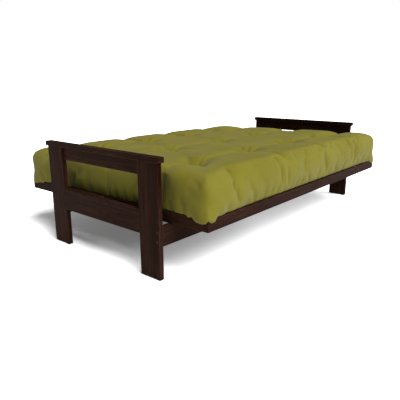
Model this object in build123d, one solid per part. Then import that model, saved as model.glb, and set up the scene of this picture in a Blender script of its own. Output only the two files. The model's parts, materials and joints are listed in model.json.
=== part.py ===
from build123d import *
from math import cos, radians, sin
import os

# Bi-fold wooden futon sofa bed, shown opened flat as a bed. Millimetres, +Z up, front of the bed
# towards -Y, left arm towards -X. The origin is on the floor under the centre of the flat bed.
# Everything that folds is laid out on a deck frame, (y, z) measured along and square to the deck,
# which slopes down to the rear; onDeck() puts it in place.

# Arms
frameLength = 2000.0  # over the outer faces of the legs
armDepth = 829.4  # over the outer edges of the front and rear legs
armCentreY = -60.5
legThick = 24.5
legWidth = 126.0
armHeight = 555.5  # to the top of the armrest board
capThick = 25.0
capSideOverhang = 7.0
capEndOverhang = 11.0
capEdge = 3.0
upperRailHeight = 65.0
upperRailRecess = 11.0
lowerRailBottom = 199.4
lowerRailHeight = 112.4
glideThick = 3.0
glideRadius = 9.0
glideOffset = 42.0  # each side of the leg's centre line

# Stretchers between the two arms
stretcherHeight = 92.0
stretcherThick = 24.5
restGap = 0.3  # between the deck and the stretchers that carry it

# Decks, the two slatted panels
deckLength = 1845.0
panelDepth = 685.0  # from the fold line to the outer edge
deckMidHeight = 243.75  # underside of the deck at the fold line
deckSlope = 0.81  # degrees, down to the rear
railHeight = 53.0
railThick = 25.0
middleRailHeight = 32.0
foldGap = 12.0  # from the fold line to each panel's end
slatCount = 8
slatWidth = 118.0
slatThick = 18.0
rebateDepth = 13.0  # of the ledge in the outer and hinge rails that each slat's end lies on

# Mattress, one pad modelled as its seat half and its back half
mattressLength = 1880.0
mattressThick = 186.0
mattressFrontOverhang = 14.0
mattressRearOverhang = 9.6
mattressCorner = 60.0
mattressSplit = 0.3  # between the halves

# Fold mechanism
foldAngle = 75.0  # degrees, flat to sofa
axisDrop = 12.0  # of the fold axis below the rails' top edges
slideTravel = 190.0  # of the seat, from flat to sofa
trackThick = 18.0
trackFrontWall = 26.2  # from the cam slot to the track's front end
trackRearWall = 32.2  # from the cam slot to the track's rear end
trackLowerWall = 11.3  # from the cam slot to the track's lower edge
pinRadius = 5.0
bushRadius = 8.0
collarRadius = 11.0
camRadius = 60.0  # from the fold axis to the cam pin
camStart = -100.0  # degrees round the fold axis, flat
plateThick = 4.0
plateReach = 112.0  # of the hinge plates along the end rails
plateInset = 7.0  # from the end rails' upper and lower edges
padStart = 26.0  # from the fold line to the back plate's pad
earRadius = 11.5

# Butt hinges between the two hinge rails
buttSpacing = 560.0
leafThick = 4.0
leafLength = 80.0
leafFoot = 6.0  # height of the leaf's lower edge
leafScrewOffset = 26.7  # each side of the leaf's middle
knuckleHalf = 13.3  # half the length of the back leaf's single knuckle
knuckleRadius = 8.5
knuckleDrop = 9.5  # from the axis to the edge of the leaf beside the other leaf's knuckle
knuckleGap = 0.5
buttPinRadius = 3.5

# Fasteners
dowelRadius = 4.0
dowelLength = 40.0
dowelShallow = 12.0  # depth of a dowel in a board's face
upperDowelInset = 19.5  # from the upper rail's upper and lower edges
lowerDowelInset = 24.7  # from the lower rail's
panelDowelInset = 14.8  # from the deck rails'
capDowelOffset = 31.5  # each side of the leg's centre line
screwRadius = 2.0
screwHeadRadius = 4.0
screwHeadHeight = 2.4
slatScrewLength = 32.0
plateScrewLength = 22.0
plateScrewInset = 11.2  # from the plate's end
plateScrewPitch = 28.0
leafScrewLength = 18.0
trackScrewLength = 34.0
trackScrewInsets = (16.0, 20.0, 9.0)  # from the track's front, its rear, and its long edges
boltRadius = 3.0
boltHeadRadius = 6.5
boltHeadHeight = 4.0
boltLength = 72.0
nutRadius = 5.0
nutLength = 20.0
nutDepth = 36.0  # from the stretcher's end to the barrel nut
boltInset = 24.8  # from the stretcher's upper and lower edges

# Clearances
snugFit = 0.05  # round dowels, bolts and screws in their holes
runFit = 0.06  # round a pin that turns in its hole
slideFit = 0.4  # each side of a bush in its slot
faceGap = 0.3  # between flat faces that move past each other
boardEdge = 2.0  # rounding of visible boards
slatEdge = 3.0
pinEndGap = 0.9  # from the pins' ends to the arm
cutPast = 1.0  # by which a cutter runs past a face
slotSteps = 10  # along the curve of the cam slot

# Worked out from the sizes above
legOuterX = frameLength / 2
legInnerX = legOuterX - legThick
armFrontY = armCentreY - armDepth / 2
armRearY = armCentreY + armDepth / 2
legTop = armHeight - capThick
railFrontY = armFrontY + legWidth
railRearY = armRearY - legWidth
lowerRailTop = lowerRailBottom + lowerRailHeight
trackInnerX = legInnerX - trackThick
endOuterX = deckLength / 2
endInnerX = endOuterX - railThick
axisHeight = railHeight - axisDrop  # of the fold axis above the deck's underside
slatSeat = railHeight - slatThick  # the height that the slats lie at
seatPlateX = endOuterX
backPlateX = seatPlateX + plateThick + faceGap
collarEndX = trackInnerX - faceGap
pinEndX = legInnerX - pinEndGap
camY = camRadius * cos(radians(camStart))
camZ = axisHeight + camRadius * sin(radians(camStart))
camEndY = slideTravel + camRadius * cos(radians(camStart + foldAngle))
slotHalf = bushRadius + slideFit
trackFrontY = camY - slotHalf - trackFrontWall
trackRearY = camEndY + slotHalf + trackRearWall
trackBottom = deckMidHeight + axisHeight - camRadius - slotHalf - trackLowerWall
middleRailY = panelDepth / 2


def onDeck(shape):
    return Location((0, 0, deckMidHeight), (-deckSlope, 0, 0)) * shape


def deckUnderside(y):
    return deckMidHeight - y * sin(radians(deckSlope)) / cos(radians(deckSlope))


def block(x, y, z):
    """A plain box from its (low, high) pairs."""
    size = [high - low for low, high in (x, y, z)]
    middle = [(high + low) / 2 for low, high in (x, y, z)]
    return Pos(*middle) * Box(*size)


def board(x, y, z, edge=boardEdge):
    """A box with every edge rounded."""
    plain = block(x, y, z)
    return fillet(plain.edges(), edge)


def rodX(x, y, z, radius):
    return Pos((x[0] + x[1]) / 2, y, z) * Rot(0, 90, 0) * Cylinder(radius, abs(x[1] - x[0]))


def rodY(x, y, z, radius):
    return Pos(x, (y[0] + y[1]) / 2, z) * Rot(90, 0, 0) * Cylinder(radius, abs(y[1] - y[0]))


def rodZ(x, y, z, radius):
    return Pos(x, y, (z[0] + z[1]) / 2) * Cylinder(radius, abs(z[1] - z[0]))


def mirrored(shapes):
    """The shapes with their mirror images on the other end of the futon."""
    return shapes + [mirror(s, about=Plane.YZ) for s in shapes]


def drilled(piece, cutters):
    """The piece without the cutters that reach it."""
    box = piece.bounding_box()
    for cutter in cutters:
        other = cutter.bounding_box()
        apart = any(
            (
                other.min.X > box.max.X,
                other.max.X < box.min.X,
                other.min.Y > box.max.Y,
                other.max.Y < box.min.Y,
                other.min.Z > box.max.Z,
                other.max.Z < box.min.Z,
            )
        )
        if not apart:
            piece = piece - cutter
    return piece


def drilledAll(pieces, cutters):
    return [drilled(piece, cutters) for piece in pieces]


def screwAt(place, length, grow=0.0):
    """A flush-headed screw whose head's top is at the place's origin, pointing along its -Z."""
    head = Pos(0, 0, -screwHeadHeight / 2) * Cylinder(screwHeadRadius + grow, screwHeadHeight)
    shank = Pos(0, 0, -length / 2) * Cylinder(screwRadius + grow, length)
    return place * (head + shank)


def facingOut(x, y, z):
    """A place whose +Z points along +X."""
    return Pos(x, y, z) * Rot(0, 90, 0)


def facingRear(x, y, z):
    """A place whose +Z points along +Y."""
    return Pos(x, y, z) * Rot(-90, 0, 0)


def facingFront(x, y, z):
    return Pos(x, y, z) * Rot(90, 0, 0)


# Fasteners of the fixed frame, at the right-hand end

def legCentres():
    return [armFrontY + legWidth / 2, armRearY - legWidth / 2]


def stretcherCentres():
    return [armFrontY + stretcherThick / 2, armRearY - stretcherThick / 2]


def stretcherTop(centreY):
    """Just under the deck at the stretcher's rear edge."""
    return deckUnderside(centreY + stretcherThick / 2) - restGap


def frameDowels(grow=0.0):
    half = dowelLength / 2
    upperX = legInnerX + (legThick - upperRailRecess) / 2
    lowerX = (legInnerX + legOuterX) / 2
    upperZ = (legTop - upperRailHeight + upperDowelInset, legTop - upperDowelInset)
    lowerZ = (lowerRailBottom + lowerDowelInset, lowerRailTop - lowerDowelInset)
    pegs = []
    for y in (railFrontY, railRearY):
        pegs += [rodY(upperX, (y - half, y + half), z, dowelRadius + grow) for z in upperZ]
        pegs += [rodY(lowerX, (y - half, y + half), z, dowelRadius + grow) for z in lowerZ]
    capZ = (legTop - dowelLength + dowelShallow, legTop + dowelShallow)
    for centre in legCentres():
        for offset in (-capDowelOffset, capDowelOffset):
            pegs.append(rodZ(lowerX, centre + offset, capZ, dowelRadius + grow))
    return mirrored(pegs)


def boltPlaces():
    places = []
    for centre in stretcherCentres():
        top = stretcherTop(centre)
        places += [(centre, top - boltInset), (centre, top - stretcherHeight + boltInset)]
    return places


def stretcherBolts(grow=0.0):
    bolts = []
    for y, z in boltPlaces():
        shank = rodX((legOuterX - boltLength - grow, legOuterX), y, z, boltRadius + grow)
        head = rodX((legOuterX - boltHeadHeight, legOuterX), y, z, boltHeadRadius + grow)
        bolts.append(shank + head)
    return mirrored(bolts)


def barrelNuts(grow=0.0):
    nuts = []
    for y, z in boltPlaces():
        half = nutLength / 2 + grow
        nut = rodY(legInnerX - nutDepth, (y - half, y + half), z, nutRadius + grow)
        nuts.append(nut)
    return mirrored(nuts)


def trackScrewPlaces():
    fromFront, fromRear, fromEdge = trackScrewInsets
    heights = (trackBottom + fromEdge, lowerRailTop - fromEdge)
    return [(y, z) for y in (trackFrontY + fromFront, trackRearY - fromRear) for z in heights]


def trackScrews(grow=0.0):
    screws = []
    for y, z in trackScrewPlaces():
        inward = Pos(trackInnerX, y, z) * Rot(0, -90, 0)
        screws.append(screwAt(inward, trackScrewLength, grow))
    return mirrored(screws)


# Fixed frame

def leg(side, centreY):
    x = (legInnerX, legOuterX)
    y = (centreY - legWidth / 2, centreY + legWidth / 2)
    piece = board(x, y, (glideThick, legTop))
    if side < 0:
        piece = mirror(piece, about=Plane.YZ)
    cutters = frameDowels(snugFit) + stretcherBolts(snugFit) + trackScrews(snugFit)
    return drilled(piece, cutters)


def armCap(side):
    x = (legInnerX - capSideOverhang, legOuterX + capSideOverhang)
    y = (armFrontY - capEndOverhang, armRearY + capEndOverhang)
    piece = board(x, y, (legTop, armHeight), capEdge)
    if side < 0:
        piece = mirror(piece, about=Plane.YZ)
    return drilled(piece, frameDowels(snugFit))


def upperRail(side):
    x = (legInnerX, legOuterX - upperRailRecess)
    piece = board(x, (railFrontY, railRearY), (legTop - upperRailHeight, legTop))
    if side < 0:
        piece = mirror(piece, about=Plane.YZ)
    return drilled(piece, frameDowels(snugFit))


def lowerRail(side):
    x = (legInnerX, legOuterX)
    piece = board(x, (railFrontY, railRearY), (lowerRailBottom, lowerRailTop))
    if side < 0:
        piece = mirror(piece, about=Plane.YZ)
    return drilled(piece, frameDowels(snugFit) + trackScrews(snugFit))


def stretcher(centreY):
    top = stretcherTop(centreY)
    y = (centreY - stretcherThick / 2, centreY + stretcherThick / 2)
    piece = board((-legInnerX, legInnerX), y, (top - stretcherHeight, top))
    return drilled(piece, stretcherBolts(snugFit) + barrelNuts(snugFit))


def footGlides():
    glides = []
    for centre in legCentres():
        for offset in (-glideOffset, glideOffset):
            x = (legInnerX + legOuterX) / 2
            glides.append(rodZ(x, centre + offset, (0.0, glideThick), glideRadius))
    return mirrored(glides)


def camPoint(turn):
    """Where the cam pin is, on the deck frame as it lies flat, after the back has turned."""
    angle = radians(camStart + turn)
    y = slideTravel * turn / foldAngle + camRadius * cos(angle)
    return y, axisHeight + camRadius * sin(angle)


def camHeading(turn):
    """The unit direction in which the cam pin moves."""
    angle = radians(camStart + turn)
    advance = slideTravel / radians(foldAngle)
    y = advance - camRadius * sin(angle)
    z = camRadius * cos(angle)
    size = (y * y + z * z) ** 0.5
    return y / size, z / size


def camSlot():
    """The curved slot's outline: the cam pin's path, widened by the bush and its clearance."""
    turns = [foldAngle * i / slotSteps for i in range(slotSteps + 1)]
    sides = []
    for side in (1, -1):
        line = []
        for turn in turns:
            y, z = camPoint(turn)
            headY, headZ = camHeading(turn)
            line.append((y - side * headZ * slotHalf, z + side * headY * slotHalf))
        sides.append(line)
    ends = []
    for turn, way in ((0.0, -1), (foldAngle, 1)):
        y, z = camPoint(turn)
        headY, headZ = camHeading(turn)
        ends.append((y + way * headY * slotHalf, z + way * headZ * slotHalf))
    above, below = sides
    edges = [
        Spline(above),
        ThreePointArc(above[-1], ends[1], below[-1]),
        Spline(below[::-1]),
        ThreePointArc(below[0], ends[0], above[0]),
    ]
    return make_face(edges)


def pinSlot():
    """The straight slot of the hinge pin."""
    outline = SlotCenterToCenter(slideTravel, 2 * slotHalf)
    return Pos(slideTravel / 2, axisHeight) * outline


def plateFrom(outline, x, thick):
    """A flat plate parallel to the arms, from an outline drawn in (y, z)."""
    return extrude(Plane.YZ.offset(x) * outline, thick)


def guideTrack(side):
    y = (trackFrontY, trackRearY)
    piece = board((trackInnerX, legInnerX), y, (trackBottom, lowerRailTop))
    for outline in (camSlot(), pinSlot()):
        cutter = plateFrom(outline, trackInnerX - cutPast, trackThick + 2 * cutPast)
        piece = piece - onDeck(cutter)
    if side < 0:
        piece = mirror(piece, about=Plane.YZ)
    return drilled(piece, trackScrews(snugFit))


# Decks. Each panel is drawn on the rear side of the fold line; the seat is its mirror image.

def panelDowels(grow=0.0):
    endX = (endInnerX + endOuterX) / 2
    heights = (panelDowelInset, railHeight - panelDowelInset)
    outerY = panelDepth - railThick
    alongY = (outerY + dowelShallow - dowelLength, outerY + dowelShallow)
    pegs = [rodY(endX, alongY, z, dowelRadius + grow) for z in heights]
    alongX = (endInnerX + dowelShallow - dowelLength, endInnerX + dowelShallow)
    pegs += [rodX(alongX, foldGap + railThick / 2, z, dowelRadius + grow) for z in heights]
    middleZ = slatSeat - middleRailHeight / 2
    pegs.append(rodX(alongX, middleRailY, middleZ, dowelRadius + grow))
    return mirrored(pegs)


def slatCentres():
    pitch = 2 * endInnerX / slatCount
    return [-endInnerX + pitch * (i + 0.5) for i in range(slatCount)]


def slatScrews(grow=0.0):
    inward = railThick - rebateDepth / 2
    lines = [panelDepth - inward, middleRailY, foldGap + inward]
    screws = []
    for x in slatCentres():
        screws += [screwAt(Pos(x, y, railHeight), slatScrewLength, grow) for y in lines]
    return screws


def leafScrews(grow=0.0):
    leafFace = foldGap - leafThick
    leafMiddle = (leafFoot + axisHeight - knuckleDrop) / 2
    screws = []
    for centre in buttCentres():
        for offset in (-leafScrewOffset, leafScrewOffset):
            place = facingFront(centre + offset, leafFace, leafMiddle)
            screws.append(screwAt(place, leafScrewLength, grow))
    return screws


def plateScrews(outerX, grow=0.0):
    positions = [plateReach - plateScrewInset - plateScrewPitch * i for i in range(3)]
    screws = [screwAt(facingOut(outerX, y, railHeight / 2), plateScrewLength, grow) for y in positions]
    return mirrored(screws)


def panelScrews(plateOuterX, grow=0.0):
    return slatScrews(grow) + leafScrews(grow) + plateScrews(plateOuterX, grow)


def seatSide(shape):
    """The mirror image of a panel's piece, across the fold line."""
    return mirror(shape, about=Plane.XZ)


def rebate(fromY, way):
    """The cutter of the ledge that the slats' ends lie on, from its upright wall towards the slats."""
    y = sorted((fromY, fromY + way * (rebateDepth + cutPast)))
    return block((-endInnerX, endInnerX), y, (slatSeat, railHeight + cutPast))


def outerRail(plateOuterX):
    y = (panelDepth - railThick, panelDepth)
    ledge = rebate(y[0] + rebateDepth, -1)
    piece = board((-endOuterX, endOuterX), y, (0.0, railHeight)) - ledge
    return drilled(piece, panelDowels(snugFit) + panelScrews(plateOuterX, snugFit))


def hingeRail(plateOuterX):
    y = (foldGap, foldGap + railThick)
    ledge = rebate(y[1] - rebateDepth, 1)
    piece = board((-endInnerX, endInnerX), y, (0.0, railHeight)) - ledge
    return drilled(piece, panelDowels(snugFit) + panelScrews(plateOuterX, snugFit))


def middleRail(plateOuterX):
    y = (middleRailY - railThick / 2, middleRailY + railThick / 2)
    piece = board((-endInnerX, endInnerX), y, (slatSeat - middleRailHeight, slatSeat))
    return drilled(piece, panelDowels(snugFit) + panelScrews(plateOuterX, snugFit))


def endRail(side, plateOuterX):
    y = (foldGap, panelDepth - railThick)
    piece = board((endInnerX, endOuterX), y, (0.0, railHeight))
    if side < 0:
        piece = mirror(piece, about=Plane.YZ)
    return drilled(piece, panelDowels(snugFit) + panelScrews(plateOuterX, snugFit))


def slat(centreX):
    x = (centreX - slatWidth / 2, centreX + slatWidth / 2)
    ledge = railThick - rebateDepth
    y = (foldGap + ledge, panelDepth - ledge)
    piece = board(x, y, (slatSeat, railHeight), slatEdge)
    return drilled(piece, slatScrews(snugFit))


def mattressHalf(depth):
    x = (-mattressLength / 2, mattressLength / 2)
    pad = block(x, (mattressSplit / 2, depth), (railHeight, railHeight + mattressThick))
    corners = pad.edges().filter_by(Axis.Z).sort_by(Axis.Y)[-2:]
    return fillet(corners, mattressCorner)


# Hinge plates, pins and bushes

def plateOutline():
    """The flat foot on the end rail and the ear round the fold axis, in one hull."""
    foot = (plateInset, railHeight - plateInset)
    corners = [(padStart, foot[0]), (plateReach, foot[0]), (plateReach, foot[1]), (padStart, foot[1])]
    outline = Polyline(*corners, close=True)
    ear = Pos(0, axisHeight) * CenterArc((0, 0), earRadius, 0, 360)
    return make_hull(outline.edges() + ear.edges())


def seatHingePlates():
    plate = seatSide(plateFrom(plateOutline(), seatPlateX, plateThick))
    through = (seatPlateX - cutPast, seatPlateX + plateThick + cutPast)
    hole = rodX(through, 0, axisHeight, pinRadius + snugFit)
    return mirrored([plate - hole])


def backHingePlates():
    """The back's plates stand off the end rails on a pad and carry a tail for the cam pin."""
    ear = Pos(0, axisHeight) * CenterArc((0, 0), earRadius, 0, 360)
    tailEnd = Pos(camY, camZ) * CenterArc((0, 0), earRadius, 0, 360)
    tail = make_hull(ear.edges() + tailEnd.edges())
    foot = (plateInset, railHeight - plateInset)
    pad = block((seatPlateX, backPlateX), (padStart, plateReach), foot)
    plate = plateFrom(plateOutline(), backPlateX, plateThick) + plateFrom(tail, backPlateX, plateThick)
    through = (seatPlateX - cutPast, backPlateX + plateThick + cutPast)
    hingeHole = rodX(through, 0, axisHeight, pinRadius + runFit)
    camHole = rodX(through, camY, camZ, pinRadius + snugFit)
    return mirrored([plate + pad - hingeHole - camHole])


def hingePins():
    return mirrored([rodX((seatPlateX, pinEndX), 0, axisHeight, pinRadius)])


def camPins():
    return mirrored([rodX((backPlateX, pinEndX), camY, camZ, pinRadius)])


def bush(startX, y, z):
    """A collar that keeps the deck off the track, and a neck that runs in the slot."""
    collar = rodX((startX, collarEndX), y, z, collarRadius)
    neck = rodX((collarEndX, pinEndX), y, z, bushRadius)
    bore = rodX((startX - cutPast, pinEndX + cutPast), y, z, pinRadius + snugFit)
    return collar + neck - bore


def hingeBushes():
    return mirrored([bush(backPlateX + plateThick + faceGap, 0, axisHeight)])


def camBushes():
    return mirrored([bush(backPlateX + plateThick, camY, camZ)])


def buttCentres():
    return [-buttSpacing, 0.0, buttSpacing]


def buttLeaf(centre, knuckles, boreRadius):
    """One leaf on the rear side of the fold line, with its knuckles at the given (low, high) X."""
    x = (centre - leafLength / 2, centre + leafLength / 2)
    leafY = (foldGap - leafThick, foldGap)
    piece = block(x, leafY, (leafFoot, axisHeight - knuckleDrop))
    for low, high in knuckles:
        span = (centre + low, centre + high)
        piece = piece + block(span, leafY, (axisHeight - knuckleDrop, axisHeight))
        piece = piece + rodX(span, 0, axisHeight, knuckleRadius)
    piece = piece - rodX((x[0] - cutPast, x[1] + cutPast), 0, axisHeight, boreRadius)
    return drilled(piece, leafScrews(snugFit))


def buttSeatLeaves():
    inner = knuckleHalf + knuckleGap
    spans = [(-leafLength / 2, -inner), (inner, leafLength / 2)]
    return [seatSide(buttLeaf(c, spans, buttPinRadius + snugFit)) for c in buttCentres()]


def buttBackLeaves():
    span = (-knuckleHalf, knuckleHalf)
    return [buttLeaf(c, [span], buttPinRadius + runFit) for c in buttCentres()]


def buttPins():
    reach = leafLength / 2
    return [rodX((c - reach, c + reach), 0, axisHeight, buttPinRadius) for c in buttCentres()]


def shapesOf(made):
    return made if isinstance(made, list) else [made]


def save(name, made, place=None):
    solids = []
    for shape in shapesOf(made):
        placed = place(shape) if place else shape
        solids += placed.solids()
    export_step(Compound(children=solids), f"parts/{name}.step")


def saveFrame():
    frontLeg, rearLeg = legCentres()
    for name, side in (("left", -1), ("right", 1)):
        save(f"{name}_front_leg", leg(side, frontLeg))
        save(f"{name}_rear_leg", leg(side, rearLeg))
        save(f"{name}_arm_cap", armCap(side))
        save(f"{name}_upper_rail", upperRail(side))
        save(f"{name}_lower_rail", lowerRail(side))
        save(f"{name}_guide_track", guideTrack(side))
    front, rear = stretcherCentres()
    save("front_stretcher", stretcher(front))
    save("rear_stretcher", stretcher(rear))
    save("foot_glides", footGlides())
    save("frame_dowels", frameDowels())
    save("stretcher_bolts", stretcherBolts())
    save("barrel_nuts", drilledAll(barrelNuts(), stretcherBolts(snugFit)))
    save("track_screws", trackScrews())


def savePanel(name, outerName, plateOuterX, place):
    save(f"{name}_{outerName}_rail", outerRail(plateOuterX), place)
    save(f"{name}_hinge_rail", hingeRail(plateOuterX), place)
    save(f"{name}_middle_rail", middleRail(plateOuterX), place)
    save(f"{name}_left_end_rail", endRail(-1, plateOuterX), place)
    save(f"{name}_right_end_rail", endRail(1, plateOuterX), place)
    for number, centre in enumerate(slatCentres(), 1):
        save(f"{name}_slat_{number}", slat(centre), place)
    save(f"{name}_dowels", panelDowels(), place)
    save(f"{name}_screws", panelScrews(plateOuterX), place)


def saveSeat():
    def place(shape):
        return onDeck(seatSide(shape))

    seatPlateOuterX = seatPlateX + plateThick
    plates = drilledAll(seatHingePlates(), [seatSide(s) for s in plateScrews(seatPlateOuterX, snugFit)])
    savePanel("seat", "front", seatPlateOuterX, place)
    save("seat_hinge_plates", plates, onDeck)
    save("hinge_pins", hingePins(), onDeck)
    save("hinge_bushes", hingeBushes(), onDeck)
    save("butt_hinge_seat_leaves", buttSeatLeaves(), onDeck)
    save("butt_hinge_pins", buttPins(), onDeck)
    save("mattress_seat_half", mattressHalf(panelDepth + mattressFrontOverhang), place)


def saveBack():
    backPlateOuterX = backPlateX + plateThick
    plates = drilledAll(backHingePlates(), plateScrews(backPlateOuterX, snugFit))
    savePanel("back", "top", backPlateOuterX, onDeck)
    save("back_hinge_plates", plates, onDeck)
    save("cam_pins", camPins(), onDeck)
    save("cam_bushes", camBushes(), onDeck)
    save("butt_hinge_back_leaves", buttBackLeaves(), onDeck)
    save("mattress_back_half", mattressHalf(panelDepth + mattressRearOverhang), onDeck)


os.makedirs("parts", exist_ok=True)
saveFrame()
saveSeat()
saveBack()
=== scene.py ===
import json
import math
import random

import bpy
import numpy as np
from mathutils import Euler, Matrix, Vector, noise


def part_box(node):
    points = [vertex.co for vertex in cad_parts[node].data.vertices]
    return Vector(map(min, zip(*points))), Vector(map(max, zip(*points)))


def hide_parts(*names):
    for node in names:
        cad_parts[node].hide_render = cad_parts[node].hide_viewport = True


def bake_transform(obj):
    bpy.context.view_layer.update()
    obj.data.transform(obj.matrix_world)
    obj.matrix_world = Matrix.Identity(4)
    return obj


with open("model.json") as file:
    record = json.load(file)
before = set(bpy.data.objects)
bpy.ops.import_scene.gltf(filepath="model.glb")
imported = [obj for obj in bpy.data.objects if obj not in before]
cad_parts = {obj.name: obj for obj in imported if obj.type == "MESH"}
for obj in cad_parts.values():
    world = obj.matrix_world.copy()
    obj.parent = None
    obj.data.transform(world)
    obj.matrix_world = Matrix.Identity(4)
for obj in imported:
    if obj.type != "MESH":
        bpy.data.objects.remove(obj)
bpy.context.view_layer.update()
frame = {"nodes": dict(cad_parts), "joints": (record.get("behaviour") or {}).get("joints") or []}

nodes = frame["nodes"]
joints = {joint["name"]: joint for joint in frame["joints"]}
print("frame loaded:", len(nodes), "parts")

# Deck coordinates: x along the futon, "along" down the slope of the deck to the rear, and "up" square
# to it. Both count from the fold line.
foldPoint = Vector(joints["back_fold"]["pos_m"])
alongDeck = Vector(joints["seat_slide"]["axis"])
upDeck = Vector((0.0, -alongDeck.z, alongDeck.y))


def fromDeck(x, along, up):
    return foldPoint + Vector((x, 0, 0)) + alongDeck * along + upDeck * up


def toDeck(point):
    gap = point - foldPoint
    return Vector((point.x, gap.dot(alongDeck), gap.dot(upDeck)))


def deckReach(*names):
    spots = [toDeck(v.co) for name in names for v in nodes[name].data.vertices]
    return [(min(s[i] for s in spots), max(s[i] for s in spots)) for i in range(3)]


def smoothStep(low, high, value):
    t = min(1.0, max(0.0, (value - low) / (high - low)))
    return t * t * (3 - 2 * t)


def bell(distance, width):
    return math.exp(-((distance / width) ** 2))


cameraSet = {
    "standAt": (-2.2309, -1.7659, 0.8578),  # metres, in front of the left arm
    "turn": 49.355,  # degrees from straight to the rear, towards the right arm
    "tipDown": 15.23,
    "roll": 0.17,
    "lens": 39.44,  # mm, on a 36 mm sensor
}


def makeCamera():
    lens = bpy.data.cameras.new("camera")
    lens.lens = cameraSet["lens"]
    lens.sensor_width = 36.0
    camera = bpy.data.objects.new("camera", lens)
    camera.location = cameraSet["standAt"]
    tip = math.radians(90 - cameraSet["tipDown"])
    roll, turn = math.radians(cameraSet["roll"]), math.radians(cameraSet["turn"])
    camera.rotation_euler = Euler((tip, roll, -turn), "XYZ")
    bpy.context.scene.collection.objects.link(camera)
    bpy.context.scene.camera = camera
    print("camera placed")


# Node helpers. An input may be a plain value, or a socket to link from.
def addNode(tree, kind, settings=None, inputs=None):
    node = tree.nodes.new(kind)
    for key, value in (settings or {}).items():
        setattr(node, key, value)
    for key, value in (inputs or {}).items():
        if isinstance(value, bpy.types.NodeSocket):
            tree.links.new(value, node.inputs[key])
        else:
            node.inputs[key].default_value = value
    return node


def startMaterial(name):
    material = bpy.data.materials.new(name)
    material.use_nodes = True
    tree = material.node_tree
    return material, tree, tree.nodes["Principled BSDF"]


def mixColour(tree, factor, first, second, how="MIX"):
    # sockets 0, 6 and 7 are the factor and the two colours, and output 2 is the mixed colour
    settings = {"data_type": "RGBA", "blend_type": how}
    node = addNode(tree, "ShaderNodeMix", settings, {0: factor, 6: first, 7: second})
    return node.outputs[2]


# The dictionaries give its four numbers as one span: from two values to two others.
def remap(tree, value, fromLow, fromHigh, toLow, toHigh):
    inputs = {"Value": value, "From Min": fromLow, "From Max": fromHigh, "To Min": toLow, "To Max": toHigh}
    return addNode(tree, "ShaderNodeMapRange", None, inputs).outputs["Result"]


def noiseOf(tree, where, scale, detail=4.0, distortion=0.0):
    inputs = {"Vector": where, "Scale": scale, "Detail": detail, "Distortion": distortion}
    return addNode(tree, "ShaderNodeTexNoise", None, inputs).outputs["Fac"]


def arithmetic(tree, operation, *terms):
    return addNode(tree, "ShaderNodeMath", {"operation": operation}, dict(enumerate(terms))).outputs["Value"]


def vectorSum(tree, operation, *terms):
    return addNode(tree, "ShaderNodeVectorMath", {"operation": operation}, dict(enumerate(terms)))


def setSockets(shader, values):
    for name, value in values.items():
        shader.inputs[name].default_value = value


def opaque(colour, share=1.0):
    return (*[min(1.0, part * share) for part in colour], 1.0)


studioSet = {
    "backdrop": 1.0,  # brightness of the plain white behind
    "skyLight": 0.22,  # soft light from all round
    "sunWatts": 7.6,
    "sunFrom": (-0.04, -1.0, 1.22),  # from the front, half way up
    "sunSpread": 40.0,  # degrees, for soft-edged shadows
    "floorColour": (0.93, 0.93, 0.945),
    "paintedFloorGlow": 0.14,  # painted light: the floor glows a little onto everything, which keeps the shadows pale
    "paintedPaleGlow": 0.40,  # more painted glow, seen only by the camera, added where the shadow fades away
    "deepShade": (-0.70, 0.40, 0.0),  # the painted glow is least here, inside the left arm, where the shadow is deepest
    "shadeReach": (0.40, 0.98),  # and the shadow, lifted by painted glow, has faded this far from it
    "floorReach": 40.0,
}


def lightRoom():
    # plain white to look at, dimmer as a light
    world = bpy.data.worlds.new("studio")
    bpy.context.scene.world = world
    world.use_nodes = True
    tree = world.node_tree
    rays = addNode(tree, "ShaderNodeLightPath")
    sky = tree.nodes["Background"]
    sky.inputs["Color"].default_value = (1, 1, 1, 1)
    dim, bright = studioSet["skyLight"], studioSet["backdrop"]
    strength = remap(tree, rays.outputs["Is Camera Ray"], 0, 1, dim, bright)
    tree.links.new(strength, sky.inputs["Strength"])
    bpy.context.scene.view_settings.view_transform = "Standard"


def hangSun():
    lamp = bpy.data.lights.new("sunLamp", "SUN")
    lamp.energy = studioSet["sunWatts"]
    lamp.angle = math.radians(studioSet["sunSpread"])
    holder = bpy.data.objects.new("sunLamp", lamp)
    holder.rotation_euler = Vector(studioSet["sunFrom"]).to_track_quat("Z", "Y").to_euler()
    bpy.context.scene.collection.objects.link(holder)


def floorPaint():
    paint, tree, shader = startMaterial("floorPaint")
    setSockets(shader, {
        "Base Color": opaque(studioSet["floorColour"]),
        "Roughness": 1.0,
        "Specular IOR Level": 0.0,
        "Emission Color": opaque(studioSet["floorColour"]),
    })
    # painted light: the floor glows, least at the shadow's deepest spot and, to the camera, more away from
    # it
    coords = addNode(tree, "ShaderNodeTexCoord")
    away = vectorSum(tree, "DISTANCE", coords.outputs["Object"], studioSet["deepShade"])
    paintedPale = remap(tree, away.outputs["Value"], *studioSet["shadeReach"], 0, studioSet["paintedPaleGlow"])
    rays = addNode(tree, "ShaderNodeLightPath")
    paintedGlow = arithmetic(tree, "MULTIPLY_ADD", rays.outputs["Is Camera Ray"], paintedPale, studioSet["paintedFloorGlow"])
    tree.links.new(paintedGlow, shader.inputs["Emission Strength"])
    return paint


def layFloor():
    reach = studioSet["floorReach"]
    sheet = bpy.data.meshes.new("studioFloor")
    corners = [(-reach, -reach, 0), (reach, -reach, 0), (reach, reach, 0), (-reach, reach, 0)]
    sheet.from_pydata(corners, [], [(0, 1, 2, 3)])
    sheet.materials.append(floorPaint())
    floor = bpy.data.objects.new("studioFloor", sheet)
    bpy.context.scene.collection.objects.link(floor)


def makeStudio():
    lightRoom()
    hangSun()
    layFloor()
    print("studio lit")


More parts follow.
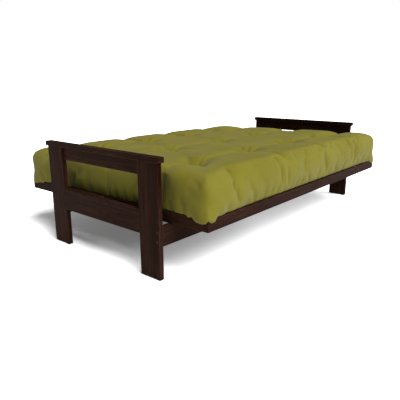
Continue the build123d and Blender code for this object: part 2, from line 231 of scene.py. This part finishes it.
woodSet = {
    "dark": (0.0092, 0.0034, 0.0016),
    "mid": (0.0178, 0.0068, 0.0036),
    "light": (0.031, 0.0130, 0.0080),
    "darkTo": 0.30,  # where the dark, mid and light stain lie in the figure
    "midAt": 0.5,
    "lightFrom": 0.72,
    "apart": (7.3, 3.1, 9.7),  # each board is cut from another part of the tree
    "grainScale": 34.0,
    "cloudScale": 6.8,
    "stretch": 0.05,  # of the grain along the board
    "poreScale": 520.0,
    "poreShade": (0.36, 0.58, 0.5, 1.0),
    "cloudShade": (0.3, 0.7, 0.78, 1.18),
    "roughness": (0.2, 0.8, 0.44, 0.62),
    "gloss": 0.015,
    "bump": {"Strength": 0.3, "Distance": 0.0005},
}
wearAndHighlightSet = {
    "colour": (0.052, 0.023, 0.015),  # the stain rubbed thin, and painted highlight: the colour the edges turn
    "edgeRadius": 0.0044,
    "lean": (0.995, 0.90, 0.0, 1.0),  # the further the rounded edge leans, the more it is worn and given painted highlight
    "patchScale": 22.0,
    "patches": (0.42, 0.66, 0.0, 0.75),
}


def stainFigure(tree, figure, wide, pores):
    ramp = addNode(tree, "ShaderNodeValToRGB", None, {"Fac": figure})
    ramp.color_ramp.elements[0].position = woodSet["darkTo"]
    ramp.color_ramp.elements[0].color = opaque(woodSet["dark"])
    ramp.color_ramp.elements[1].position = woodSet["lightFrom"]
    ramp.color_ramp.elements[1].color = opaque(woodSet["light"])
    ramp.color_ramp.elements.new(woodSet["midAt"]).color = opaque(woodSet["mid"])
    cloud = remap(tree, wide, *woodSet["cloudShade"])
    shade = arithmetic(tree, "MULTIPLY", pores, cloud)
    return mixColour(tree, 1.0, ramp.outputs["Color"], shade, "MULTIPLY")


def edgeWearAndHighlight(tree, where, soft):
    # the edges lose some stain and take a painted highlight: there the rounded normal leans away from the
    # flat one
    flat = addNode(tree, "ShaderNodeNewGeometry")
    lean = vectorSum(tree, "DOT_PRODUCT", soft, flat.outputs["Normal"]).outputs["Value"]
    edge = remap(tree, lean, *wearAndHighlightSet["lean"])
    rub = remap(tree, noiseOf(tree, where, wearAndHighlightSet["patchScale"], 5.0), *wearAndHighlightSet["patches"])
    return arithmetic(tree, "MULTIPLY", edge, rub)


def stainedWood(name, axis):
    material, tree, shader = startMaterial(name)
    coords = addNode(tree, "ShaderNodeTexCoord")
    board = addNode(tree, "ShaderNodeObjectInfo")
    lot = {0: woodSet["apart"], "Scale": board.outputs["Random"]}
    shift = addNode(tree, "ShaderNodeVectorMath", {"operation": "SCALE"}, lot)
    moved = vectorSum(tree, "ADD", coords.outputs["Object"], shift.outputs["Vector"])
    stretch = [1.0, 1.0, 1.0]
    stretch[axis] = woodSet["stretch"]
    mapping = addNode(tree, "ShaderNodeMapping", None, {"Vector": moved.outputs["Vector"], "Scale": stretch})
    where = mapping.outputs["Vector"]
    figure = noiseOf(tree, where, woodSet["grainScale"], 7.0, 1.6)
    wide = noiseOf(tree, where, woodSet["cloudScale"], 2.0, 0.6)
    pores = remap(tree, noiseOf(tree, where, woodSet["poreScale"], 3.0), *woodSet["poreShade"])
    stain = stainFigure(tree, figure, wide, pores)
    bevel = addNode(tree, "ShaderNodeBevel", {"samples": 4}, {"Radius": wearAndHighlightSet["edgeRadius"]})
    soft = bevel.outputs["Normal"]
    wearAndHighlight = edgeWearAndHighlight(tree, coords.outputs["Object"], soft)
    # edge wear and painted highlight: the edges turn lighter
    colour = mixColour(tree, wearAndHighlight, stain, opaque(wearAndHighlightSet["colour"]))
    tree.links.new(colour, shader.inputs["Base Color"])
    rough = remap(tree, figure, *woodSet["roughness"])
    tree.links.new(rough, shader.inputs["Roughness"])
    setSockets(shader, {"Specular IOR Level": woodSet["gloss"]})
    height = arithmetic(tree, "MULTIPLY_ADD", figure, 0.6, pores)
    bump = addNode(tree, "ShaderNodeBump", None, {**woodSet["bump"], "Height": height, "Normal": soft})
    tree.links.new(bump.outputs["Normal"], shader.inputs["Normal"])
    return material


fittingSet = {
    "blackSteel": {"colour": (0.02, 0.02, 0.021), "metallic": 0.6, "roughness": (0.42, 0.6)},
    "zincSteel": {"colour": (0.55, 0.49, 0.33), "metallic": 1.0, "roughness": (0.28, 0.5)},
    "bronzedSteel": {"colour": (0.012, 0.006, 0.004), "metallic": 0.0, "roughness": (0.6, 0.8)},
    "blackNylon": {"colour": (0.03, 0.03, 0.032), "metallic": 0.0, "roughness": (0.45, 0.6)},
    "brownFelt": {"colour": (0.06, 0.045, 0.036), "metallic": 0.0, "roughness": (0.9, 1.0)},
    "plainBeech": {"colour": (0.5, 0.33, 0.19), "metallic": 0.0, "roughness": (0.55, 0.7)},
}


fittingFinish = {
    "gloss": 0.10,  # all of them are dull
    "cloudScale": 60.0,
    "gritScale": 900.0,
    "bump": {"Strength": 0.15, "Distance": 0.0002},
}


def mottled(name):
    spec = fittingSet[name]
    material, tree, shader = startMaterial(name)
    coords = addNode(tree, "ShaderNodeTexCoord")
    cloud = noiseOf(tree, coords.outputs["Object"], fittingFinish["cloudScale"])
    grit = noiseOf(tree, coords.outputs["Object"], fittingFinish["gritScale"], 2.0)
    colour = mixColour(tree, cloud, opaque(spec["colour"], 0.75), opaque(spec["colour"], 1.25))
    tree.links.new(colour, shader.inputs["Base Color"])
    rough = remap(tree, cloud, 0.25, 0.75, *spec["roughness"])
    tree.links.new(rough, shader.inputs["Roughness"])
    setSockets(shader, {"Metallic": spec["metallic"], "Specular IOR Level": fittingFinish["gloss"]})
    bump = addNode(tree, "ShaderNodeBump", None, {**fittingFinish["bump"], "Height": grit})
    tree.links.new(bump.outputs["Normal"], shader.inputs["Normal"])
    return material


def dress(name, material):
    mesh = nodes[name].data
    mesh.materials.clear()
    mesh.materials.append(material)


def finishFrame():
    grain = [stainedWood("stainedWood" + letter, axis) for axis, letter in enumerate("XYZ")]
    steel, zinc, bronzed = mottled("blackSteel"), mottled("zincSteel"), mottled("bronzedSteel")
    nylon, felt, beech = mottled("blackNylon"), mottled("brownFelt"), mottled("plainBeech")
    fittings = {
        "foot_glides": felt,
        "frame_dowels": beech,
        "seat_dowels": beech,
        "back_dowels": beech,
        "barrel_nuts": zinc,
        "stretcher_bolts": bronzed,
        "track_screws": zinc,
        "seat_screws": zinc,
        "back_screws": zinc,
        "hinge_bushes": nylon,
        "cam_bushes": nylon,
    }
    for name in nodes:
        if name in fittings:
            dress(name, fittings[name])
        elif "plates" in name or "pins" in name or "leaves" in name:
            dress(name, steel)
        elif not name.startswith("mattress"):
            # a board's grain runs along its longest side
            low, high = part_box(name)
            size = high - low
            longest = max(range(3), key=lambda i: size[i])
            dress(name, grain[longest])
    print("boards and fittings finished")


clothSet = {
    "colour": (0.0900, 0.0790, 0.0040),
    "faded": (0.1060, 0.0950, 0.0085),
    "shade": (0.0640, 0.0520, 0.0015),  # painted shade, laid down in the creases
    "blotchScale": 4.0,
    "blotches": (0.35, 0.7, 0.0, 1.0),
    "threadPitch": 0.0016,  # metres from thread to thread
    "bias": (35.0, 20.0),  # degrees, so that the threads lie across every face
    "slubScale": 190.0,
    "slubShare": 0.8,
    "speck": (0.4, 1.7, 0.88, 1.08),
    "bump": {"Strength": 0.35, "Distance": 0.0005},
    "surface": {
        "Roughness": 0.88,
        "Sheen Weight": 0.065,
        "Sheen Roughness": 0.45,
        "Specular IOR Level": 0.12,
    },
}


def wovenThreads(tree, where):
    # warp and weft: two sets of fine ribs, one turned across the other
    ribs = []
    for turn in (8.0, 98.0):
        angles = [math.radians(a) for a in (*clothSet["bias"], turn)]
        mapping = addNode(tree, "ShaderNodeMapping", None, {"Vector": where, "Rotation": angles})
        scale = 2 * math.pi / (20 * clothSet["threadPitch"])
        inputs = {"Vector": mapping.outputs["Vector"], "Scale": scale, "Distortion": 0.8}
        ribs.append(addNode(tree, "ShaderNodeTexWave", None, inputs).outputs["Fac"])
    woven = arithmetic(tree, "MAXIMUM", *ribs)
    slub = noiseOf(tree, where, clothSet["slubScale"], 3.0)
    return arithmetic(tree, "MULTIPLY_ADD", slub, clothSet["slubShare"], woven)


def cottonDrill(name):
    material, tree, shader = startMaterial(name)
    coords = addNode(tree, "ShaderNodeTexCoord")
    where = coords.outputs["Object"]
    blotch = remap(tree, noiseOf(tree, where, clothSet["blotchScale"], 6.0), *clothSet["blotches"])
    ground = mixColour(tree, blotch, opaque(clothSet["colour"]), opaque(clothSet["faded"]))
    # painted shade: the cloth darkens the deeper it lies in a crease
    hollow = addNode(tree, "ShaderNodeAttribute", {"attribute_name": "hollow"})
    ground = mixColour(tree, hollow.outputs["Fac"], ground, opaque(clothSet["shade"]))
    thread = wovenThreads(tree, where)
    speck = remap(tree, thread, *clothSet["speck"])
    colour = mixColour(tree, 1.0, ground, speck, "MULTIPLY")
    tree.links.new(colour, shader.inputs["Base Color"])
    bump = addNode(tree, "ShaderNodeBump", None, {**clothSet["bump"], "Height": thread})
    tree.links.new(bump.outputs["Normal"], shader.inputs["Normal"])
    setSockets(shader, clothSet["surface"])
    return material


mattressSet = {
    "cell": 0.0148,  # metres between points of the cloth
    "startInset": 0.012,  # the case starts this much inside the pad's size, and the stuffing fills it out
    "upperRound": 0.050,
    "lowerRound": 0.018,
    "cornerRound": 0.034,
    "tuck": 0.004,  # by which the side leans in towards its foot
    "tuckBand": 0.1,  # from the sides inwards
    "frontRise": 0.006,  # the pad is thicker at the front
    "frontRiseOver": (0.3, -0.5),  # down the deck
    "slump": {"x": -0.90, "along": -0.64, "deep": 0.016, "wide": 0.16},  # of the front left corner
    "foldBlend": 0.17,  # each side of the fold line
    "hollowPasses": 4,
    "hollowFull": 0.0006,  # metres below the cloth around it, where the painted crease shade is full
}
tuftSet = {
    # three rows: distance down the deck, and places along the futon
    "rows": {
        -0.430: (-0.700, -0.262, 0.165, 0.565),
        -0.025: (-0.460, -0.008, 0.446, 0.815),
        0.385: (-0.660, -0.262, 0.130, 0.560),
    },
    "deep": 0.038,
    "wide": 0.043,
    "underDeep": 0.012,
    "underWide": 0.03,
    "tied": 0.018,  # the cloth this near to a tuft can't swell
    "underBand": 0.003,  # nor the cloth this near to the underside
    "topBand": 0.02,  # the top starts this far below the pad's highest point
}
valleySet = {
    "row": 0.012,  # depth of the valleys that join the tufts of a row
    "cross": 0.007,  # of those that join the rows
    "front": 0.007,  # and of those that run over each rim
    "rear": 0.040,
    "left": 0.010,
    "right": 0.040,
    "wide": 0.026,
    "fan": {"front": 1.03, "rear": 1.04, "left": 0.98, "right": 1.04},  # of those over the rims
    "varyScale": 3.1,
    "linkReach": 0.49,  # tufts nearer than this are joined
    "hold": 0.22,  # on the cloth, against the stuffing
    "mostHold": 0.5,
    "sideShare": 0.35,  # of a valley's depth, carried on down the side
    "sideBand": 0.03,
    "clearOfRims": 0.02,
}


def tuftSpots():
    return [(x, along) for along, places in tuftSet["rows"].items() for x in places]


def valleyLines(reach):
    # from tuft to tuft, and from the outer tufts over the rim: ends and depth of each
    (lowX, highX), (lowA, highA), _ = reach
    spots = tuftSpots()
    lines = []
    for i, one in enumerate(spots):
        for other in spots[i + 1:]:
            if math.dist(one, other) < valleySet["linkReach"]:
                depth = valleySet["row" if one[1] == other[1] else "cross"]
                lines.append((one, other, depth))
    rows, fan = tuftSet["rows"], valleySet["fan"]
    first, last = min(rows), max(rows)
    for x in rows[first]:
        lines.append(((x, first), (x * fan["front"], lowA), valleySet["front"]))
    for x in rows[last]:
        lines.append(((x, last), (x * fan["rear"], highA), valleySet["rear"]))
    for along, places in rows.items():
        lines.append(((places[0], along), (lowX, along * fan["left"]), valleySet["left"]))
        lines.append(((places[-1], along), (highX, along * fan["right"]), valleySet["right"]))
    return lines


def offLine(x, along, line):
    (x0, a0), (x1, a1), _ = line
    dx, da = x1 - x0, a1 - a0
    share = ((x - x0) * dx + (along - a0) * da) / (dx * dx + da * da)
    share = min(1.0, max(0.0, share))
    return math.hypot(x - x0 - dx * share, along - a0 - da * share)


def valleyDepth(x, along, lines):
    deepest = 0.0
    fine, wide = valleySet["varyScale"], valleySet["wide"]
    for line in lines:
        gap = offLine(x, along, line)
        if gap < wide * 2.5:
            # no valley is even, and each one varies in its own way
            vary = 0.75 + 0.5 * noise.noise((x * fine, along * fine, line[2] * 90))
            deepest = max(deepest, line[2] * vary * bell(gap, wide))
    return deepest


def latticeSkin(counts):
    # the outside of a box lattice: its points' index triples, and its faces
    ids, faces = {}, []
    for axis in range(3):
        u, v = [a for a in range(3) if a != axis]
        for end in (0, counts[axis]):
            outward = (end > 0) != (axis == 1)
            for a in range(counts[u]):
                for b in range(counts[v]):
                    quad = []
                    for da, db in ((0, 0), (1, 0), (1, 1), (0, 1)):
                        key = [0, 0, 0]
                        key[axis], key[u], key[v] = end, a + da, b + db
                        quad.append(ids.setdefault(tuple(key), len(ids)))
                    faces.append(quad if outward else quad[::-1])
    return ids, faces


def roundedPoint(local, half):
    # plan corners first, then the rim's profile, measured in from the pad's outline
    corner = mattressSet["cornerRound"]
    flat = [max(-(half[i] - corner), min(half[i] - corner, local[i])) for i in range(2)]
    off = Vector([local[i] - flat[i] for i in range(2)])
    if off.length > corner:
        off = off.normalized() * corner
    x, y = flat[0] + off.x, flat[1] + off.y
    inward = min(half[0] - abs(local[0]), half[1] - abs(local[1]))
    z = local[2]
    rim = mattressSet["upperRound"] if z > 0 else mattressSet["lowerRound"]
    lift = abs(z) - (half[2] - rim)
    if inward < rim and lift > 0:
        arm = Vector((rim - inward, lift))
        if arm.length > rim:
            arm = arm.normalized() * rim
            z = math.copysign(half[2] - rim + arm.y, z)
            pull = rim - arm.x - inward
            x -= math.copysign(min(pull, abs(x)), x) * (half[0] - abs(local[0]) < rim)
            y -= math.copysign(min(pull, abs(y)), y) * (half[1] - abs(local[1]) < rim)
    tuck = mattressSet["tuck"] * smoothStep(mattressSet["tuckBand"], 0.0, inward)
    lean = (0.5 - z / (2 * half[2])) * tuck
    x *= 1 - lean / half[0]
    y *= 1 - lean / half[1]
    return x, y, z


def padStart(reach):
    sizes = [high - low for low, high in reach]
    centre = [(high + low) / 2 for low, high in reach]
    half = [size / 2 for size in sizes]
    counts = [round(size / mattressSet["cell"]) for size in sizes]
    ids, faces = latticeSkin(counts)
    points = []
    for key in ids:
        local = [(key[i] / counts[i] - 0.5) * sizes[i] for i in range(3)]
        x, y, z = roundedPoint(local, half)
        points.append(Vector((centre[0] + x, centre[1] + y, centre[2] + z)))
    return points, faces


def pressTop(p, gap, valley, reach):
    # presses a point of the upper side down, and gives its hold
    lowUp, highUp = reach[2]
    top = smoothStep((lowUp + highUp) / 2, highUp - tuftSet["topBand"], p.z)
    rise = mattressSet["frontRise"] * smoothStep(*mattressSet["frontRiseOver"], p.y) * top
    dip = max(tuftSet["deep"] * bell(gap, tuftSet["wide"]), valley) * top
    slump = mattressSet["slump"]
    away = math.dist((p.x, p.y), (slump["x"], slump["along"]))
    p.z += rise - dip - slump["deep"] * bell(away, slump["wide"]) * top
    if gap < tuftSet["tied"]:
        return 1.0
    held = valleySet["hold"] * valley / valleySet["row"]
    return min(valleySet["mostHold"], held) * top


def pressSide(p, valley, reach):
    # the valleys carry on a little way down the sides
    (_, highX), (lowA, highA), (lowUp, highUp) = reach
    band, rim = valleySet["sideBand"], valleySet["clearOfRims"]
    nearEnd = highX - abs(p.x)
    nearSide = min(p.y - lowA, highA - p.y)
    if min(nearEnd, nearSide) < band and lowUp + rim < p.z < highUp - rim:
        press = valleySet["sideShare"] * valley * smoothStep(lowUp, highUp, p.z)
        if nearSide < band:
            p.y -= math.copysign(press, p.y)
        else:
            p.x -= math.copysign(press, p.x)


def shapePad(points, reach):
    # presses the tufts and valleys in, and gives each point's hold on its place, 0 to 1
    lowUp, highUp = reach[2]
    spots, lines = tuftSpots(), valleyLines(reach)
    holds = []
    for p in points:
        gap = min(math.dist((p.x, p.y), spot) for spot in spots)
        valley = valleyDepth(p.x, p.y, lines)
        if p.z > (lowUp + highUp) / 2:
            holds.append(pressTop(p, gap, valley, reach))
        elif p.z < lowUp + tuftSet["underBand"]:
            p.z += tuftSet["underDeep"] * bell(gap, tuftSet["underWide"])
            holds.append(1.0)
        else:
            holds.append(0.0)
        pressSide(p, valley, reach)
    return holds


def applyModifiers(piece):
    bpy.context.view_layer.update()
    graph = bpy.context.evaluated_depsgraph_get()
    made = bpy.data.meshes.new_from_object(piece.evaluated_get(graph))
    piece.modifiers.clear()
    old = piece.data
    piece.data = made
    bpy.data.meshes.remove(old)
    made.name = piece.name


stuffingSet = {
    "pressure": 3.0,
    "slackCloth": -0.030,
    "stretchiness": 12,
    "shear": 4,
    "bending": 0.5,
    "mass": 0.3,
    "quality": 6,
    "frames": 20,
    "reach": 0.018,  # furthest that a point may swell
}


def holdTies(pad, holds):
    ties = pad.vertex_groups.new(name="ties")
    for index, hold in enumerate(holds):
        if hold > 0.01:
            ties.add([index], hold, "REPLACE")


def fillWithStuffing(pad, holds):
    # blows the case up against its tufts, then keeps each point within reach of where it began
    start = [v.co.copy() for v in pad.data.vertices]
    holdTies(pad, holds)
    cloth = pad.modifiers.new("stuffing", "CLOTH")
    how = cloth.settings
    how.quality = stuffingSet["quality"]
    how.mass = stuffingSet["mass"]
    how.tension_stiffness = stuffingSet["stretchiness"]
    how.compression_stiffness = stuffingSet["stretchiness"]
    how.shear_stiffness = stuffingSet["shear"]
    how.bending_stiffness = stuffingSet["bending"]
    how.use_pressure = True
    how.uniform_pressure_force = stuffingSet["pressure"]
    how.vertex_group_mass = "ties"
    how.shrink_min = stuffingSet["slackCloth"]
    how.effector_weights.gravity = 0
    cloth.collision_settings.use_collision = False
    cloth.collision_settings.use_self_collision = False
    cloth.point_cache.frame_start = 1
    cloth.point_cache.frame_end = stuffingSet["frames"]
    scene = bpy.context.scene
    for step in range(1, stuffingSet["frames"] + 1):
        scene.frame_set(step)
    applyModifiers(pad)
    scene.frame_set(1)
    for vertex, began in zip(pad.data.vertices, start):
        move = vertex.co - began
        if move.length > stuffingSet["reach"]:
            vertex.co = began + move.normalized() * stuffingSet["reach"]
    print("stuffing settled")


restSet = {
    "lowBand": 0.07,  # height of the part that can hang over the rails
    "cornerDroop": 0.020,  # of the lower edge at the corners
    "droopReach": (0.11, 0.19),  # from the corner, across and down the deck
    "cornerSpread": 0.013,  # outwards, so that it clears the rails
    "spreadFrom": (-0.03, -0.01),  # past the deck's outline
    "clearFrom": (-0.005, 0.001),
    "clearShare": 0.7,
    "scallop": 0.006,
    "scallopScale": 4.3,
    "press": 0.78,  # share of its rise that the lower edge loses to the pad's own weight
    "pressOver": (0.028, 0.006),  # and the rise at which it loses none, and all of that
}


def settleOnDeck(pad, floorUp, deck):
    # the underside lies on the slats, and the lower edge hangs over the rails, lowest at the corners
    (_, highX), (lowA, highA), _ = deck
    wideX, wideA = restSet["droopReach"]
    fine = restSet["scallopScale"]
    for vertex in pad.data.vertices:
        spot = toDeck(vertex.co)
        outX = abs(spot.x) - highX
        outA = max(lowA - spot.y, spot.y - highA)
        low = smoothStep(floorUp + restSet["lowBand"], floorUp, spot.z)
        corner = bell(math.hypot(min(0.0, outX) / wideX, min(0.0, outA) / wideA), 1.0)
        spread = restSet["cornerSpread"] * corner * low
        spot.x += math.copysign(spread, spot.x) * smoothStep(*restSet["spreadFrom"], outX)
        spot.y += math.copysign(spread, spot.y) * smoothStep(*restSet["spreadFrom"], outA)
        clear = smoothStep(*restSet["clearFrom"], max(outX, outA) + spread * restSet["clearShare"])
        hang = restSet["cornerDroop"] * corner
        hang += restSet["scallop"] * noise.noise((spot.x * fine, spot.y * fine, 5.0))
        lift = max(0.0, spot.z - floorUp)
        lift -= restSet["press"] * lift * smoothStep(*restSet["pressOver"], lift)
        spot.z = floorUp + lift - hang * low * clear
        vertex.co = fromDeck(*spot)


creaseSet = {
    "seed": 7,
    "wide": 0.0078,
    "warp": 0.014,  # the creases on the top wander this much
    "warpScale": 9.0,
    "perTuft": 8,  # creases that run out from each tuft
    "length": (0.06, 0.20),
    "deep": (0.0040, 0.0095),
    "ridge": (0.55, 1.6),  # height and width of the ridge beside each, as shares of its own
    "fadeIn": 0.12,  # share of its length
    "fadeOut": 0.75,
    "topFacing": (0.25, 0.65),  # the top's creases fade out as the cloth turns down
    "sidePitch": 0.10,
    "sideDeep": (0.0004, 0.0019),
    "sideRidge": (0.5, 1.8),
    "sideWarp": 0.02,
    "sideLean": 0.05,
    "sideMiddle": (0.25, 0.8),  # shares of the pad's height
    "sideTall": (0.2, 0.5),
    "sideSpacing": (0.35, 1.6),  # shares of the pitch
    "sideEnds": (0.03, 0.02),  # none nearer to the corners
    "sideFacing": 0.75,  # and none where the cloth leans more than this
}


def grooveShape(aside, ridge):
    # a groove with a soft ridge beside it
    wide = creaseSet["wide"]
    tall, broad = ridge
    return np.exp(-((aside / wide) ** 2)) - tall * np.exp(-(((aside - 2 * wide) / (broad * wide)) ** 2))


def tuftCreases():
    # ends and depth of the short creases that run out from the tufts
    draw = random.Random(creaseSet["seed"])
    count = creaseSet["perTuft"]
    lines = []
    for x, along in tuftSpots():
        turn = draw.uniform(0, 2 * math.pi)
        for i in range(count):
            way = turn + (i + draw.uniform(-0.3, 0.3)) * 2 * math.pi / count
            length = draw.uniform(*creaseSet["length"])
            depth = draw.uniform(*creaseSet["deep"])
            end = (x + math.cos(way) * length, along + math.sin(way) * length)
            lines.append(((x, along), end, depth))
    return lines


def pressOnTop(spots, warp, rising):
    flat = spots[:, :2] + warp[:, :2] * creaseSet["warp"]
    low, high = creaseSet["topFacing"]
    facing = np.clip((rising - low) / (high - low), 0, 1)
    push = np.zeros(len(spots))
    for (x0, a0), (x1, a1), depth in tuftCreases():
        length = math.dist((x0, a0), (x1, a1))
        wayX, wayA = (x1 - x0) / length, (a1 - a0) / length
        offX, offA = flat[:, 0] - x0, flat[:, 1] - a0
        share = (offX * wayX + offA * wayA) / length
        aside = offA * wayX - offX * wayA
        fade = np.clip(share / creaseSet["fadeIn"], 0, 1) * np.clip((1 - share) / creaseSet["fadeOut"], 0, 1)
        push -= depth * grooveShape(aside, creaseSet["ridge"]) * fade * facing
    return push


def pressOnSides(spots, warp, rising, normals, reach):
    # upright creases, spaced along each of the four sides
    (lowX, highX), (lowA, highA), (lowUp, highUp) = reach
    draw = random.Random(creaseSet["seed"] + 1)
    upright = 1 - np.clip(np.abs(rising) / creaseSet["sideFacing"], 0, 1)
    height = (spots[:, 2] - lowUp) / (highUp - lowUp)
    push = np.zeros(len(spots))
    # each side: the way it runs, the way it faces with its sign, and its two ends
    sides = (
        (0, 1, -1, lowX, highX),
        (0, 1, 1, lowX, highX),
        (1, 0, -1, lowA, highA),
        (1, 0, 1, lowA, highA),
    )
    for axis, out, sign, low, high in sides:
        facingOut = np.clip(sign * normals[:, out] * 1.6 - 0.5, 0, 1) * upright
        place = low + creaseSet["sideEnds"][0]
        while place < high - creaseSet["sideEnds"][1]:
            depth = draw.uniform(*creaseSet["sideDeep"])
            lean = draw.uniform(-creaseSet["sideLean"], creaseSet["sideLean"])
            middle, tall = draw.uniform(*creaseSet["sideMiddle"]), draw.uniform(*creaseSet["sideTall"])
            aside = spots[:, axis] + warp[:, axis] * creaseSet["sideWarp"] - place - lean * (height - 0.5)
            fade = np.exp(-(((height - middle) / tall) ** 2))
            push -= depth * grooveShape(aside, creaseSet["sideRidge"]) * fade * facingOut
            place += creaseSet["sidePitch"] * draw.uniform(*creaseSet["sideSpacing"])
    return push


def creaseCloth(pad, reach):
    # the creases are pressed in along the cloth's own normals
    mesh = pad.data
    spots = np.array([tuple(toDeck(v.co)) for v in mesh.vertices])
    normals = np.array([tuple(v.normal) for v in mesh.vertices])
    noise.seed_set(creaseSet["seed"])  # without this the noise starts from the clock
    warp = np.array([tuple(noise.noise_vector(v.co * creaseSet["warpScale"])) for v in mesh.vertices])
    rising = normals[:, 1] * upDeck.y + normals[:, 2] * upDeck.z
    push = pressOnTop(spots, warp, rising) + pressOnSides(spots, warp, rising, normals, reach)
    moved = np.array([tuple(v.co) for v in mesh.vertices]) + normals * push[:, None]
    mesh.vertices.foreach_set("co", moved.ravel())
    mesh.update()
    print("cloth creased")


def markHollows(pad):
    # how deep each point lies in a crease, 0 to 1: the mask for the cloth's painted crease shade
    mesh = pad.data
    ring = [[] for _ in mesh.vertices]
    for edge in mesh.edges:
        one, other = edge.vertices
        ring[one].append(other)
        ring[other].append(one)
    depth = []
    for vertex, around in zip(mesh.vertices, ring):
        mean = sum((mesh.vertices[n].co for n in around), Vector()) / len(around)
        depth.append((mean - vertex.co).dot(vertex.normal))
    for _ in range(mattressSet["hollowPasses"]):
        depth = [(d + sum(depth[n] for n in around)) / (1 + len(around)) for d, around in zip(depth, ring)]
    layer = mesh.attributes.new("hollow", "FLOAT", "POINT")
    for value, d in zip(layer.data, depth):
        value.value = min(1.0, max(0.0, d / mattressSet["hollowFull"]))


def foldAcross(piece):
    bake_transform(piece)


def makeMattress():
    whole = deckReach("mattress_seat_half", "mattress_back_half")
    deck = deckReach("seat_front_rail", "back_top_rail")
    inset = mattressSet["startInset"]
    floorUp = whole[2][0]
    reach = [(low + inset, high - inset) for low, high in whole]
    reach[2] = (floorUp, whole[2][1] - inset)
    points, faces = padStart(reach)
    holds = shapePad(points, reach)
    mesh = bpy.data.meshes.new("mattress")
    mesh.from_pydata([tuple(fromDeck(*p)) for p in points], [], faces)
    mesh.update()
    pad = bpy.data.objects.new("mattress", mesh)
    bpy.context.scene.collection.objects.link(pad)
    fillWithStuffing(pad, holds)
    smoother = pad.modifiers.new("soften", "SUBSURF")
    smoother.levels = 1
    smoother.render_levels = 1
    applyModifiers(pad)
    creaseCloth(pad, reach)
    settleOnDeck(pad, floorUp, deck)
    for polygon in pad.data.polygons:
        polygon.use_smooth = True
    markHollows(pad)
    pad.data.materials.append(cottonDrill("cottonDrill"))
    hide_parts("mattress_seat_half", "mattress_back_half")
    foldAcross(pad)
    print("mattress made:", len(pad.data.polygons), "faces")
    return pad


makeCamera()
makeStudio()
finishFrame()
mattress = makeMattress()
